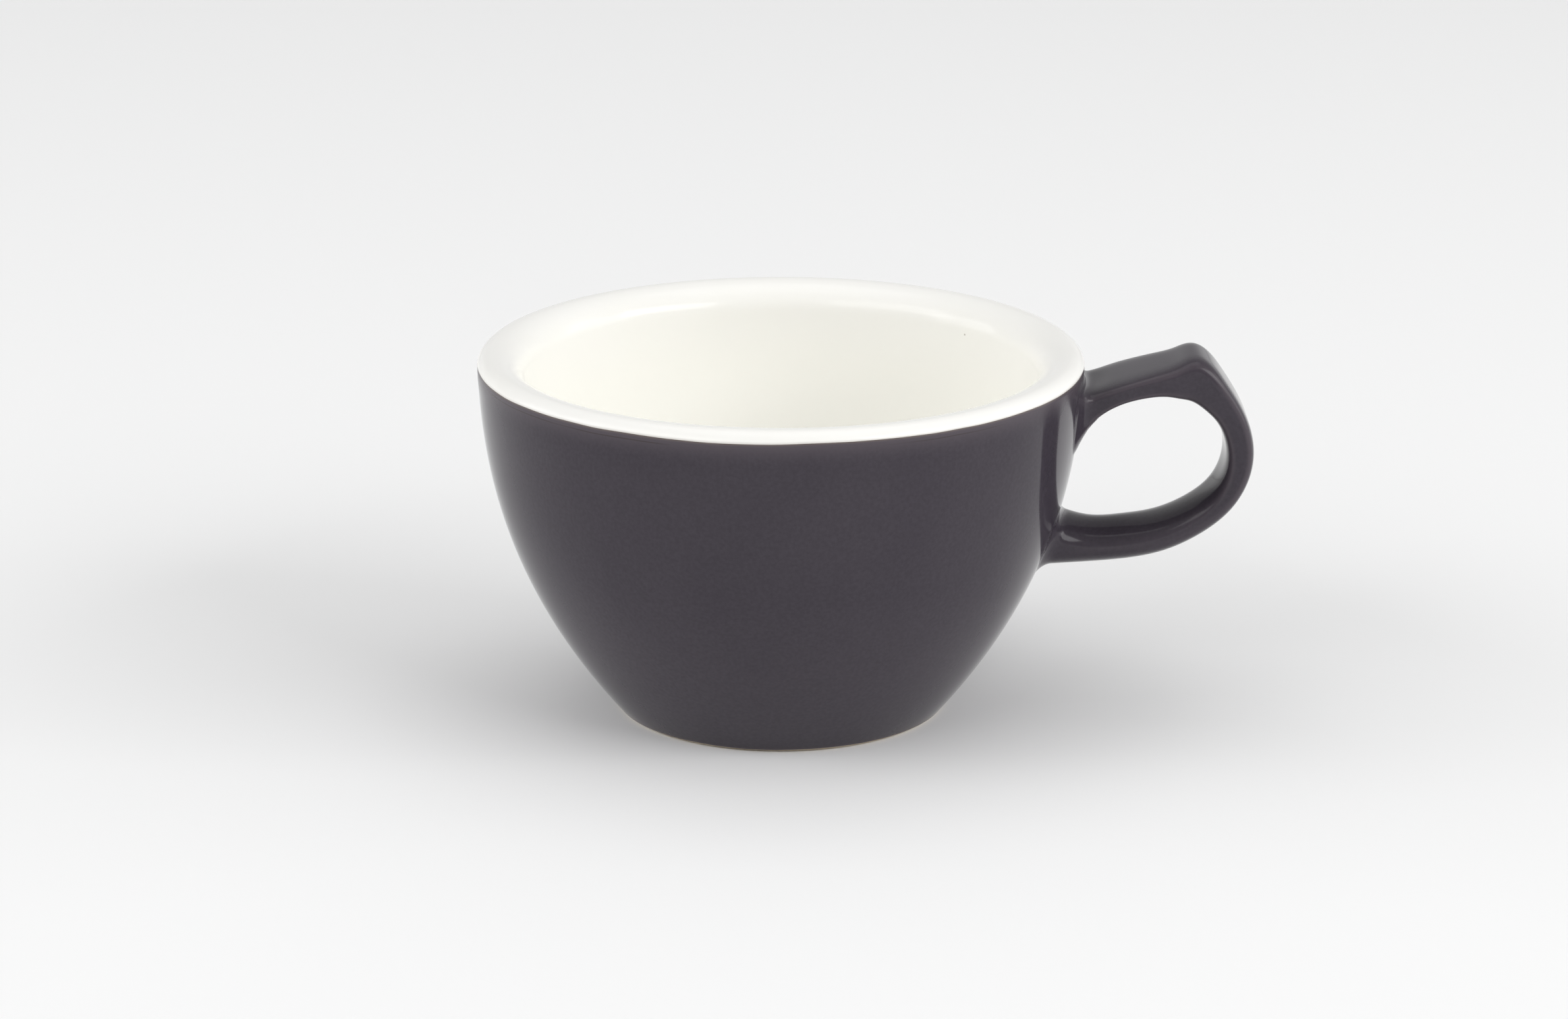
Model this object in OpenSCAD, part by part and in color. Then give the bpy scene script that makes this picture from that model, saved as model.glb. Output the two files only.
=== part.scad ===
// Cappuccino cup: a thick fired-clay bowl on a foot ring, with a strap handle luted to its side,
// glazed cream inside and over the lip and charcoal outside. All lengths are in millimetres.
// The origin is on the cup's axis at the table, +Z is up and the handle points towards +X.

/* [Bowl] */
// Outside diameter of the rim
rim_d = 95; // [80:0.5:110]
// Height from the table to the top of the rim
cup_h = 57.6; // [50:0.2:70]
// Outside diameter of the wall where it reaches the table
foot_d = 51.2; // [44:0.2:60]
// Lean of the wall from upright just below the rim, in degrees
rim_lean = 2.5; // [0.5:0.5:6]
// How suddenly the wall draws in towards the foot
wall_power = 2.33; // [1.9:0.01:2.8]
// Thickness of the finished wall, measured level
wall_t = 7; // [4.5:0.1:8]
// Radius of the rounding on the outside of the lip
lip_round = 2.2; // [1.4:0.1:3]
// Height over which the lip rounds down into the cup
lip_drop = 4.5; // [2.5:0.1:9]
// Height of the finished floor above the table
floor_z = 7.6; // [6:0.1:11]
// Height above the floor at which the wall turns in to meet it
floor_turn = 5; // [3:0.1:9]

/* [Foot] */
// Width of the flat ring that stands on the table
foot_ring_w = 3.6; // [2:0.1:6]
// Rounding of the foot ring's edges
foot_edge = 0.8; // [0.3:0.1:1.2]
// Depth of the hollow inside the foot ring
recess_depth = 2.4; // [1.6:0.1:3.5]
// Rounding in the corner of the hollow
recess_round = 1.2; // [0.4:0.1:2]

/* [Glaze] */
// Thickness of the fired glaze
glaze_t = 0.3; // [0.15:0.05:0.5]
// Angle above the widest point of the lip at which the cream glaze ends
cream_turn = 13; // [0:1:45]
// Height of the bare clay left at the foot
bare_foot = 0.5; // [0.5:0.1:2]

/* [Handle] */
// Reach of the finger hole past the rim
hole_reach = 22.1; // [18:0.1:28]
// Height of the finger hole
hole_h = 22; // [18:0.1:25]
// Drop from the top of the rim to the finger hole's highest point
hole_drop = 6; // [5:0.1:10]
// Thickness of the strap
strap_t = 4.5; // [3:0.1:6]
// Width of the strap at the thumb rest
strap_w = 15; // [10:0.5:18]
// Squareness of the strap's section at the thumb rest: 2 is an oval, higher is closer to a box
strap_square = 5; // [4.5:0.1:6]
// Thickness of the slip that holds each end of the handle to the bowl
slip_t = 0.6; // [0.4:0.1:1.2]
// Gap left where a faceted end meets a round face
seat_gap = 0.03; // [0.01:0.01:0.1]

/* [Smoothness] */
// Straight steps in the wall
wall_steps = 28; // [16:2:48]
// Straight steps in each rounding
arc_steps = 8; // [4:1:16]
// Points round the strap's section
section_points = 28; // [20:4:40]
// Rings between two stations of the handle
ring_steps = 4; // [2:1:5]

/* [Hidden] */
$fn = 96;
biscuit_colour = "#d8cbb6";
slip_colour = "#cdbfa9";
cream_colour = "#f4efe0";
charcoal_colour = "#4a474b";

// Circle of the lip's outer rounding
lip_r = rim_d / 2 - lip_round;
lip_z = cup_h - lip_round;
// Where the wall runs into that rounding
wall_top_r = lip_r + lip_round * cos(rim_lean);
wall_top_z = lip_z - lip_round * sin(rim_lean);
// How far the wall draws in between the rim and the foot
belly = wall_top_r - wall_top_z * tan(rim_lean) - foot_d / 2;

// Finished outer radius of the wall, and its slope, at a height
function wall_r(z) = wall_top_r - (wall_top_z - z) * tan(rim_lean)
    - belly * pow(max(0, 1 - z / wall_top_z), wall_power);
function wall_slope(z) = tan(rim_lean)
    + belly * wall_power / wall_top_z * pow(max(0, 1 - z / wall_top_z), wall_power - 1);

// The inner wall stands one wall thickness inside the outer one, from the lip to the turn above the floor
inner_top_z = cup_h - lip_drop;
lip_run = lip_r - wall_r(inner_top_z) + wall_t;
turn_z = floor_z + floor_turn;
turn_angle = atan(wall_slope(turn_z));
turn_round = floor_turn / (1 - sin(turn_angle));
turn_r = wall_r(turn_z) - wall_t - turn_round * cos(turn_angle);

// The foot ring: its outer rounding starts on the clay wall and ends on the table
foot_angle = atan(wall_slope(0));
foot_wall_z = foot_edge * (1 - sin(foot_angle));
foot_out_r = wall_r(foot_wall_z) - glaze_t - foot_edge * cos(foot_angle);
foot_in_r = foot_out_r - foot_ring_w;
recess_r = foot_in_r - foot_edge;
fillet_share = 0.9;
recess_fillet = min(recess_round, (recess_depth - foot_edge) * fillet_share);

// Even shares from 0 to 1, a list without its first or last entries, and an arc of an ellipse
function steps(count) = [for (i = [0:count]) i / count];
function without_first(list) = [for (i = [1:len(list) - 1]) list[i]];
function without_last(list) = [for (i = [0:len(list) - 2]) list[i]];
function reversed(list) = [for (i = [len(list) - 1:-1:0]) list[i]];
function arc(cr, cz, run, rise, from, to) = [
    for (k = steps(arc_steps))
        let (a = from + (to - from) * k)
            [cr + run * cos(a), cz + rise * sin(a)]
];

// Outlines of the bowl, drawn at the glazed surface or set in from it by the glaze
function outer_wall(inset, low) = [
    for (k = without_last(steps(wall_steps)))
        let (z = low + (wall_top_z - low) * k)
            [wall_r(z) - inset, z]
];
function lip_side(inset) =
    arc(lip_r, lip_z, lip_round - inset, lip_round - inset, -rim_lean, cream_turn);
function lip_top(inset) =
    arc(lip_r, lip_z, lip_round - inset, lip_round - inset, cream_turn, 90);
function lip_inside(inset) =
    arc(lip_r, inner_top_z, lip_run - inset, lip_drop - inset, 90, 180);
function inner_wall(inset) = [
    for (k = without_first(without_last(steps(wall_steps))))
        let (z = inner_top_z + (turn_z - inner_top_z) * k)
            [wall_r(z) - wall_t + inset, z]
];
function floor_corner(inset) =
    arc(turn_r, floor_z + turn_round, turn_round + inset, turn_round + inset, -turn_angle, -90);
function cream_outline(inset) = concat(
    lip_top(inset), without_first(lip_inside(inset)), inner_wall(inset),
    floor_corner(inset), [[0, floor_z - inset]]
);
function charcoal_outline(inset) = concat(outer_wall(inset, bare_foot), lip_side(inset));
function recess_outline(inset) = concat(
    [[0, recess_depth - inset]],
    arc(recess_r - recess_fillet, recess_depth - recess_fillet,
        recess_fillet - inset, recess_fillet - inset, 90, 0)
);
function foot_outline() = concat(
    arc(foot_in_r, foot_edge, foot_edge, foot_edge, 180, 270),
    arc(foot_out_r, foot_edge, foot_edge, foot_edge, -90, -foot_angle)
);

// Height of the finger hole's lowest point above the table
hole_base = cup_h - hole_drop - hole_h;

// Stations along the strap, from the upper root round the loop to the lower root. Each one has the inner
// edge's place as shares of the hole's reach and height, the turn of the section from the +X direction in
// degrees, and the section's thickness, width and squareness as shares of the strap's.
station_shares = [
    [0.00, 0.65, 90, 1.85, 1.20, 1.00],
    [0.10, 0.82, 90, 1.15, 1.05, 1.00],
    [0.25, 0.94, 95, 0.80, 1.05, 1.00],
    [0.50, 0.99, 97, 0.90, 1.00, 1.00],
    [0.65, 0.97, 91, 1.25, 0.95, 1.00],
    [0.75, 0.94, 80, 1.60, 0.90, 1.00],
    [0.85, 0.87, 62, 1.30, 0.90, 1.00],
    [0.95, 0.75, 45, 1.05, 0.85, 1.00],
    [1.00, 0.55, 12, 1.00, 0.85, 0.90],
    [0.95, 0.35, -25, 1.00, 0.85, 0.65],
    [0.80, 0.20, -50, 1.15, 0.80, 0.50],
    [0.55, 0.08, -70, 1.30, 0.80, 0.45],
    [0.30, 0.04, -83, 1.45, 0.80, 0.40],
    [0.05, 0.03, -90, 1.55, 0.80, 0.40],
    [-0.20, 0.08, -90, 1.80, 0.95, 0.50],
];
last_station = len(station_shares) - 1;
// Stations over which an end of the strap takes up the bowl's round shape
root_stations = 2;

// A smooth curve through four neighbouring stations, and the station values at any place along the strap
function smooth(a, b, c, d, k) = (2 * b + (c - a) * k + (2 * a - 5 * b + 4 * c - d) * k * k
    + (3 * b - a - 3 * c + d) * k * k * k) / 2;
function station(i) = station_shares[min(max(i, 0), last_station)];
function along(s) = let (i = min(floor(s), last_station - 1))
    smooth(station(i - 1), station(i), station(i + 1), station(i + 2), s - i);
function station_x(s) = rim_d / 2 + along(s)[0] * hole_reach;

// How far along X the bare clay wall lies at a place beside the handle
function clay_x(y, z) = sqrt(pow(wall_r(z) - glaze_t, 2) - y * y);

// Share of the bowl's round shape that a section takes up, and the place of the root it is nearer to
function root_share(s) = max(0, 1 - min(s, last_station - s) / root_stations);
function root_x(s) = station_x(s < last_station / 2 ? 0 : last_station);

// One point of a rounded box section
function rounded(value, square) = sign(value) * pow(abs(value), 2 / square);

// A ring of the strap at a place along it, set in from the glazed surface, drawn in towards its middle by
// a shrink, and standing off the clay wall at the roots
function ring(s, inset, shrink, stand_off) =
    let (
        at = along(s),
        thick = at[3] * strap_t,
        half_t = (thick / 2 - inset) * shrink,
        half_w = (at[4] * strap_w / 2 - inset) * shrink,
        square = at[5] * strap_square,
        mid_x = station_x(s) + cos(at[2]) * thick / 2,
        mid_z = hole_base + at[1] * hole_h + sin(at[2]) * thick / 2,
        share = root_share(s)
    ) [
        for (i = [0:section_points - 1])
            let (
                a = 360 * i / section_points,
                out = half_t * rounded(sin(a), square),
                y = half_w * rounded(cos(a), square),
                x = mid_x + cos(at[2]) * out,
                z = mid_z + sin(at[2]) * out,
                wall_x = share > 0 ? clay_x(y, z) + stand_off + station_x(s) - root_x(s) : 0
            ) [x + (wall_x - x) * share, y, z]
    ];

// Places of the rings from one root to the other
ring_places = [for (i = [0:last_station * ring_steps]) i / ring_steps];
// How far the rings that close an end are drawn in towards its middle
cap_shares = [0.7, 0.4, 0.15];

// Faces between neighbouring rings of a list of rings, all with the same count of points
function side_faces(ring_count) = [
    for (i = [0:ring_count - 2], j = [0:section_points - 1])
        let (
            a = i * section_points,
            b = a + section_points,
            k = (j + 1) % section_points
        )
            each [[a + j, a + k, b + j], [a + k, b + k, b + j]]
];
// Faces that close the first or last ring with a flat fan
function fan(start) = [for (j = [1:section_points - 2]) [start, start + j, start + j + 1]];
function turned_over(faces) = [for (f = faces) reversed(f)];
// Faces that join the last ring of a closed strip back to its first ring
function joining_faces(ring_count) = [
    for (j = [0:section_points - 1])
        let (
            a = (ring_count - 1) * section_points,
            k = (j + 1) % section_points
        )
            each [[a + j, a + k, j], [a + k, k, j]]
];

// Outline of a root of the strap, seen along X
function root_outline(s, inset) = [for (p = ring(s, inset, 1, 0)) [p[1], p[2]]];

// The strap's root carried straight through the bowl's side
module root_passage(s, inset) {
    rotate([90, 0, 90])
        linear_extrude(height = rim_d)
            polygon(root_outline(s, inset));
}

// Thin coat of slip on the clay wall, cut to a root of the strap
module slip_pad(s) {
    intersection() {
        rotate_extrude()
            polygon(concat(
                outer_wall(glaze_t, bare_foot),
                reversed(outer_wall(glaze_t - slip_t, bare_foot))
            ));
        root_passage(s, glaze_t);
    }
}

module cup_body() {
    color(biscuit_colour)
        rotate_extrude()
            polygon(concat(
                recess_outline(0), foot_outline(), charcoal_outline(glaze_t),
                without_first(cream_outline(glaze_t))
            ));
}

module handle() {
    stand_off = slip_t + seat_gap;
    rings = concat(
        [for (k = reversed(cap_shares)) ring(0, glaze_t, k, stand_off)],
        [for (s = ring_places) ring(s, glaze_t, 1, stand_off)],
        [for (k = cap_shares) ring(last_station, glaze_t, k, stand_off)]
    );
    color(biscuit_colour)
        polyhedron(
            points = [for (r = rings) each r],
            faces = concat(
                side_faces(len(rings)),
                turned_over(fan(0)),
                fan((len(rings) - 1) * section_points)
            )
        );
}

module upper_handle_joint() {
    color(slip_colour)
        slip_pad(0);
}

module lower_handle_joint() {
    color(slip_colour)
        slip_pad(last_station);
}

module inner_glaze() {
    color(cream_colour)
        rotate_extrude()
            polygon(concat(cream_outline(0), reversed(cream_outline(glaze_t))));
}

module outer_glaze() {
    color(charcoal_colour)
        difference() {
            rotate_extrude()
                polygon(concat(charcoal_outline(0), reversed(charcoal_outline(glaze_t))));
            root_passage(0, -seat_gap);
            root_passage(last_station, -seat_gap);
        }
}

module handle_glaze() {
    function sleeve(inset) = concat(
        [ring(0, inset, 1, seat_gap)],
        [for (s = ring_places) ring(s, inset, 1, slip_t + seat_gap)],
        [ring(last_station, inset, 1, seat_gap)]
    );
    rings = concat(sleeve(0), reversed(sleeve(glaze_t - seat_gap)));
    color(charcoal_colour)
        polyhedron(
            points = [for (r = rings) each r],
            faces = concat(side_faces(len(rings)), joining_faces(len(rings)))
        );
}

module underside_glaze() {
    color(charcoal_colour)
        rotate_extrude()
            polygon(concat(recess_outline(0), reversed(recess_outline(glaze_t))));
}

cup_body();
handle();
upper_handle_joint();
lower_handle_joint();
inner_glaze();
outer_glaze();
handle_glaze();
underside_glaze();
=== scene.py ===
"""Looks for a cappuccino cup: its clay, its glazes and a plain studio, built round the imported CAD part.

Lengths are in metres in the CAD's own frame. The origin is on the cup's axis at the table, +Z is up and
the handle points towards +X.
"""
import math

import bmesh
import bpy
import numpy as np
from bpy.props import FloatProperty, FloatVectorProperty, IntProperty, PointerProperty
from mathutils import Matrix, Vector


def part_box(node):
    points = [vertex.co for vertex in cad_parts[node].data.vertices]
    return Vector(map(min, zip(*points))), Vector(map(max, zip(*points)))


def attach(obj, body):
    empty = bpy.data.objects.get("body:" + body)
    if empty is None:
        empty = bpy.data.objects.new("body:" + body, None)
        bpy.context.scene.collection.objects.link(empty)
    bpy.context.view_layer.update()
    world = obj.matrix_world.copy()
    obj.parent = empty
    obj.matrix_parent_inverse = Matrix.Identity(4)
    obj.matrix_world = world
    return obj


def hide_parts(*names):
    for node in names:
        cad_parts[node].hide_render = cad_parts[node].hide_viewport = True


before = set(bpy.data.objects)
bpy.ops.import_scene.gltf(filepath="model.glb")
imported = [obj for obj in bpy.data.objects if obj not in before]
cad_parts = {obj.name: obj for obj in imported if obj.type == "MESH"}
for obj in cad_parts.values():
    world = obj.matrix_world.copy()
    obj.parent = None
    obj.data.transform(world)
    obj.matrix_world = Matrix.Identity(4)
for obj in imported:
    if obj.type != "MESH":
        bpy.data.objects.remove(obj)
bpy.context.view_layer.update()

bl_info = {
    "name": "Cappuccino Cup",
    "version": (1, 0, 0),
    "blender": (4, 5, 0),
    "location": "3D View > Sidebar > Cup",
    "description": "Turns, glazes and lights a cappuccino cup round its CAD frame",
    "category": "Object",
}

MM = 0.001
BODY = "root"
# How far the outermost faces keep inside the CAD box
INSIDE = 0.01 * MM


def linear(hex_value):
    """Linear red, green and blue of an sRGB hex value."""
    shares = [int(hex_value[i:i + 2], 16) / 255 for i in (1, 3, 5)]
    return tuple(c / 12.92 if c <= 0.04045 else ((c + 0.055) / 1.055) ** 2.4 for c in shares)


def length(name, description, size):
    """A length that a user may change, in metres."""
    return FloatProperty(name=name, description=description, default=size, precision=5, unit="LENGTH")


def angle(name, description, degrees):
    """An angle that a user may change."""
    return FloatProperty(name=name, description=description, default=math.radians(degrees), subtype="ANGLE")


def colour(name, description, hex_value):
    """A colour that a user may change."""
    return FloatVectorProperty(
        name=name, description=description, default=linear(hex_value), min=0, max=1, subtype="COLOR")


# Sizes and colours

class BowlSizes(bpy.types.PropertyGroup):
    """Sizes of the turned bowl and its foot."""
    rim_diameter: length(
        "Rim diameter", "Outside diameter of the rim", 2 * (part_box("outer_glaze")[1].y - INSIDE))
    height: length("Height", "Height from the table to the rim's top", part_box("inner_glaze")[1].z - INSIDE)
    foot_diameter: length("Foot diameter", "Outside diameter of the wall at the table", 51.2 * MM)
    rim_lean: angle("Rim lean", "Lean of the wall from upright just below the rim", 2.5)
    wall_power: FloatProperty(
        name="Wall power", description="How suddenly the wall draws in towards the foot", default=2.33)
    wall_thickness: length("Wall thickness", "Thickness of the finished wall, measured level", 7 * MM)
    lip_rounding: length("Lip rounding", "Radius of the rounding on the outside of the lip", 2.2 * MM)
    lip_drop: length("Lip drop", "Height over which the lip rounds down into the cup", 4.5 * MM)
    floor_height: length("Floor height", "Height of the finished floor above the table", 7.6 * MM)
    floor_turn: length("Floor turn", "Height above the floor at which the wall turns in", 5 * MM)
    foot_ring_width: length("Foot ring width", "Width of the flat ring on the table", 3.6 * MM)
    foot_rounding: length("Foot rounding", "Rounding of the foot ring's edges", 0.8 * MM)
    recess_depth: length("Recess depth", "Depth of the hollow inside the foot ring", 2.4 * MM)
    recess_rounding: length("Recess rounding", "Rounding in the corner of the hollow", 1.2 * MM)
    turns: IntProperty(name="Turns", description="Steps round the cup's axis", default=224, min=48, max=320)


class GlazeSizes(bpy.types.PropertyGroup):
    """Thickness of the glaze and the lines where it ends."""
    thickness: length("Thickness", "Thickness of the fired glaze", 0.3 * MM)
    cream_turn: angle("Cream turn", "Angle above the lip's widest point where the cream glaze ends", 13)
    bare_foot: length("Bare foot", "Height of the bare clay left at the foot", 0.5 * MM)
    ledge: length(
        "Ledge", "How far the cream glaze stands proud of the charcoal at the colour line", 0.12 * MM)
    end_rounding: length("End rounding", "Rounding of the cream glaze's end", 0.14 * MM)
    line_wave: length("Line wave", "How far the colour line wanders up and down", 0.35 * MM)
    foot_wave: length("Foot wave", "How far the glaze line at the foot wanders", 0.25 * MM)
    wave_length: length("Wave length", "Usual distance from one wave of the line to the next", 16 * MM)
    thin_reach: length("Thin reach", "Width of the thinner glaze below the colour line", 4 * MM)
    foot_reach: length("Foot reach", "Width of the thinner glaze above the foot", 0.7 * MM)


class HandleSizes(bpy.types.PropertyGroup):
    """Sizes of the strap handle."""
    hole_reach: length("Hole reach", "Reach of the finger hole past the rim", 22.1 * MM)
    hole_height: length("Hole height", "Height of the finger hole", 22.0 * MM)
    hole_drop: length("Hole drop", "Drop from the rim to the top of the finger hole", 6.0 * MM)
    strap_thickness: length("Strap thickness", "Usual thickness of the strap", 4.5 * MM)
    strap_width: length("Strap width", "Width of the strap at the thumb rest", 15 * MM)
    squareness: FloatProperty(
        name="Squareness", description="Shape of the section: 2 is an oval, more is boxier", default=5.0)
    root_fillet: length("Root fillet", "Radius of the glaze in the corner at each root", 2.0 * MM)
    section_points: IntProperty(
        name="Section points", description="Points round the strap", default=72, min=24, max=120)
    ring_steps: IntProperty(
        name="Ring steps", description="Rings between two stations of the strap", default=13, min=2, max=16)


class CupColours(bpy.types.PropertyGroup):
    """Colours of the cup and the studio."""
    charcoal: colour("Charcoal", "Charcoal glaze where it is deep", "#39343c")
    # The pale charcoal shows the glaze's uneven depth, and also painted light towards the foot
    charcoal_pale: colour("Charcoal pale", "Charcoal glaze where it is shallow", "#423d44")
    charcoal_thin: colour("Charcoal thin", "Charcoal glaze where it is thin", "#575056")
    charcoal_edge: colour("Charcoal edge", "Charcoal glaze at its very end", "#7d7268")
    # Painted shade: a dark line standing in for the shading of a small step in the glaze near the colour line
    charcoal_painted_shade: colour("Charcoal end", "Dark line along the charcoal glaze's own end", "#3a3330")
    pinhole: colour("Pinhole", "Pinholes in the charcoal glaze", "#1e1b1d")
    cream: colour("Cream", "Cream glaze", "#f8f7f2")
    cream_pale: colour("Cream pale", "Cream glaze where it is shallow", "#faf9f6")
    # The inside colour is painted light: lighter than the cream, it stands in for the light filling the cup's
    # hollow
    cream_painted_inside_light: colour("Cream deep", "Cream glaze inside the cup, where it is deepest", "#fbfaf4")
    cream_thin: colour("Cream thin", "Cream glaze at its thin end", "#8c8074")
    iron: colour("Iron", "Iron specks in the glaze and the clay", "#6e5a44")
    clay: colour("Clay", "Fired clay", "#c4b7a3")
    slip: colour("Slip", "Fired joining slip", "#cdbfa9")
    paper: colour("Paper", "Studio floor", "#fcfcfc")


# Shared tools

def add_node(tree, kind, inputs=None, **settings):
    """Adds a node with its settings, and sets or links its inputs."""
    node = tree.nodes.new(kind)
    for name, value in settings.items():
        setattr(node, name, value)
    for key, value in (inputs or {}).items():
        if isinstance(value, bpy.types.NodeSocket):
            tree.links.new(value, node.inputs[key])
        else:
            node.inputs[key].default_value = value
    return node


def new_material(name):
    """An empty node material and its tree."""
    material = bpy.data.materials.new(name)
    material.use_nodes = True
    material.node_tree.nodes.clear()
    return material, material.node_tree


def per_metre(size):
    """Scale of a pattern whose parts have a given real size in metres."""
    return 1 / size


def opaque(rgb):
    """A colour with full alpha, as a colour socket takes it."""
    return (*rgb, 1)


# Materials

# Refractive indices. The glazes' are matched to the photograph's reflections, below a usual glaze's 1.5.
CHARCOAL_IOR = 1.31
CREAM_IOR = 1.35
CLAY_IOR = 1.45
# Heights between which the charcoal glaze is painted paler towards the foot, as painted light from the floor,
# and by what share
PAINTED_FOOT_LIGHT_HEIGHTS = (30 * MM, 14 * MM)
PAINTED_FOOT_LIGHT_SHARE = 0.55
# Heights between which the cream glaze is painted lighter down inside the cup, as painted light filling its
# hollow
PAINTED_INSIDE_LIGHT_HEIGHTS = (57 * MM, 45 * MM)
# Height of the ripples in both glazes
RIPPLE = 0.015 * MM


def spots(tree, place, spacing, rarity, core, edge, strength):
    """Round spots scattered over a surface, in some cells of a real size, as a factor for a mix.

    The core and the edge of a spot are shares of its cell's size.
    """
    cells = add_node(tree, "ShaderNodeTexVoronoi", {"Vector": place, "Scale": per_metre(spacing)})
    chance = add_node(tree, "ShaderNodeSeparateColor", {"Color": cells.outputs["Color"]})
    picked = add_node(tree, "ShaderNodeMath", {
        0: chance.outputs["Red"], 1: rarity}, operation="GREATER_THAN")
    round_spot = add_node(tree, "ShaderNodeMapRange", {
        "Value": cells.outputs["Distance"], "From Min": core, "From Max": edge,
        "To Min": strength, "To Max": 0.0})
    spot = add_node(tree, "ShaderNodeMath", {
        0: picked.outputs["Value"], 1: round_spot.outputs["Result"]}, operation="MULTIPLY")
    return spot.outputs["Value"]


def ripples(tree, place, spacing):
    """Normals of the soft ripples left where a glaze flowed."""
    noise = add_node(tree, "ShaderNodeTexNoise", {
        "Vector": place, "Scale": per_metre(spacing), "Detail": 1.0})
    bump = add_node(tree, "ShaderNodeBump", {
        "Strength": 1.0, "Distance": RIPPLE, "Height": noise.outputs["Fac"]})
    return bump.outputs["Normal"]


def charcoal_glaze(colours):
    """Charcoal stoneware glaze, dipped and fired to a gloss."""
    # A dark glass with a faint purple cast. It is uneven in depth, and is painted paler towards the foot as
    # painted light from the floor. It ripples where it flowed, and has a fine grain and a few pinholes. Where
    # it thins, on an edge or towards the colour line, it pales, turns browner and loses some gloss. In
    # patches a dark line of painted shade lies a little way in from its ends, standing in for the shading of
    # a small step in the glaze.
    material, tree = new_material("Charcoal Stoneware Glaze")
    place = add_node(tree, "ShaderNodeTexCoord").outputs["Object"]
    depth = add_node(tree, "ShaderNodeTexNoise", {
        "Vector": place, "Scale": per_metre(14 * MM), "Detail": 3.0})
    grain = add_node(tree, "ShaderNodeTexNoise", {
        "Vector": place, "Scale": per_metre(0.6 * MM), "Detail": 2.0})
    height = add_node(tree, "ShaderNodeSeparateXYZ", {"Vector": place}).outputs["Z"]
    # Painted light: the glaze is mixed paler towards the foot, standing in for light thrown up from the floor
    painted_foot_light = add_node(tree, "ShaderNodeMapRange", {
        "Value": height, "From Min": PAINTED_FOOT_LIGHT_HEIGHTS[0], "From Max": PAINTED_FOOT_LIGHT_HEIGHTS[1],
        "To Max": PAINTED_FOOT_LIGHT_SHARE})
    shallow = add_node(tree, "ShaderNodeMath", {
        0: depth.outputs["Fac"], 1: painted_foot_light.outputs["Result"]}, operation="ADD", use_clamp=True)
    body = add_node(tree, "ShaderNodeMix", {
        0: shallow.outputs["Value"], 6: opaque(colours.charcoal), 7: opaque(colours.charcoal_pale)},
        data_type="RGBA")
    grainy = add_node(tree, "ShaderNodeMapRange", {
        "Value": grain.outputs["Fac"], "From Min": 0.3, "From Max": 0.7, "To Min": 0.92, "To Max": 1.08})
    toned = add_node(tree, "ShaderNodeMix", {
        0: 1.0, 6: body.outputs[2], 7: grainy.outputs["Result"]}, data_type="RGBA", blend_type="MULTIPLY")
    thin = add_node(tree, "ShaderNodeAttribute", attribute_name="thin").outputs["Fac"]
    paling = add_node(tree, "ShaderNodeMath", {0: thin, 1: 2.0}, operation="POWER")
    paled = add_node(tree, "ShaderNodeMix", {
        0: paling.outputs["Value"], 6: toned.outputs[2], 7: opaque(colours.charcoal_thin)}, data_type="RGBA")
    ending = add_node(tree, "ShaderNodeMapRange", {
        "Value": thin, "From Min": 0.92, "From Max": 1.0, "To Max": 0.8})
    edged = add_node(tree, "ShaderNodeMix", {
        0: ending.outputs["Result"], 6: paled.outputs[2], 7: opaque(colours.charcoal_edge)}, data_type="RGBA")
    # Painted shade: a patchy dark line a little way in from the glaze's ends, standing in for a small step's
    # shading
    shade_band = add_node(tree, "ShaderNodeMath", {0: thin, 1: 0.775, 2: 0.02}, operation="COMPARE")
    patches = add_node(tree, "ShaderNodeTexNoise", {"Vector": place, "Scale": per_metre(22 * MM)})
    shown = add_node(tree, "ShaderNodeMapRange", {
        "Value": patches.outputs["Fac"], "From Min": 0.48, "From Max": 0.6, "To Max": 0.6})
    painted_shade_line = add_node(tree, "ShaderNodeMath", {
        0: shade_band.outputs["Value"], 1: shown.outputs["Result"]}, operation="MULTIPLY")
    shade_lined = add_node(tree, "ShaderNodeMix", {
        0: painted_shade_line.outputs["Value"], 6: edged.outputs[2], 7: opaque(colours.charcoal_painted_shade)},
        data_type="RGBA")
    pinholes = spots(tree, place, 7 * MM, rarity=0.92, core=0.015, edge=0.04, strength=0.8)
    base = add_node(tree, "ShaderNodeMix", {
        0: pinholes, 6: shade_lined.outputs[2], 7: opaque(colours.pinhole)}, data_type="RGBA")
    gloss = add_node(tree, "ShaderNodeMapRange", {
        "Value": depth.outputs["Fac"], "From Min": 0.3, "From Max": 0.7, "To Min": 0.05, "To Max": 0.1})
    roughness = add_node(tree, "ShaderNodeMix", {
        0: thin, 2: gloss.outputs["Result"], 3: 0.3}, data_type="FLOAT")
    shader = add_node(tree, "ShaderNodeBsdfPrincipled", {
        "Base Color": base.outputs[2], "Roughness": roughness.outputs[0], "IOR": CHARCOAL_IOR,
        "Normal": ripples(tree, place, 9 * MM)})
    add_node(tree, "ShaderNodeOutputMaterial", {"Surface": shader.outputs["BSDF"]})
    return material


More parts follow.
